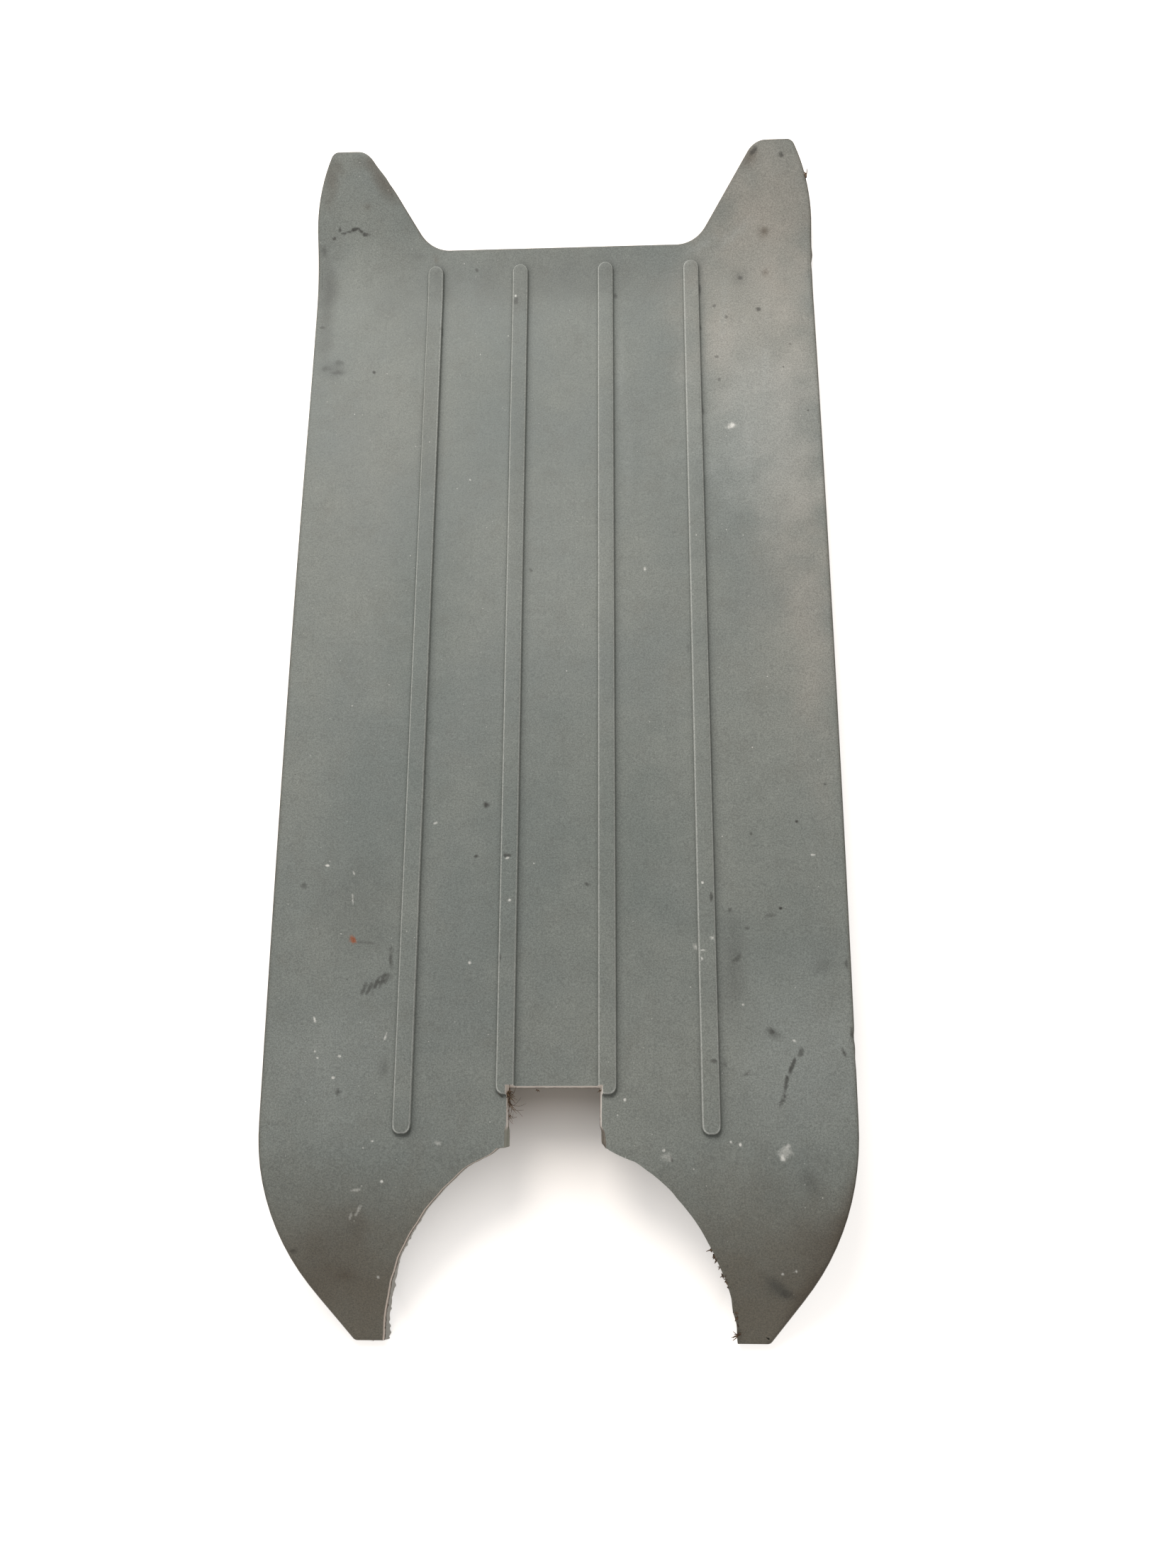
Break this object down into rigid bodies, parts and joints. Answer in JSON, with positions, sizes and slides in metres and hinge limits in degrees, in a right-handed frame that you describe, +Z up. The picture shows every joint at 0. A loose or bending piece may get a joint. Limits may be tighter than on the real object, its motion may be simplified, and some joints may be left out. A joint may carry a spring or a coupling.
{
  "type": "moped footboard mat",
  "caption": "Moulded grey rubber footboard mat for a moped: long ribs on a flat middle, two upswept front horns, and a downswept tail with a hand-cut bay and notch.",
  "frame": {"origin": "centre of the mat's plan outline, on the level surface it rests on", "axes": "+Y along the mat towards the two front horns, +X to the right seen from above with the horns ahead, +Z up; the flat middle slopes down towards the front by 3.8 degrees, as the mat lies at rest"},
  "size_m": [0.2564, 0.5726, 0.0327],
  "materials": {
    "rubber": "matte, worn, with faint stains and pale cut edges"
  },
  "bodies": {
    "root": {"footboard_mat": "rubber"}
  },
  "joints": []
}
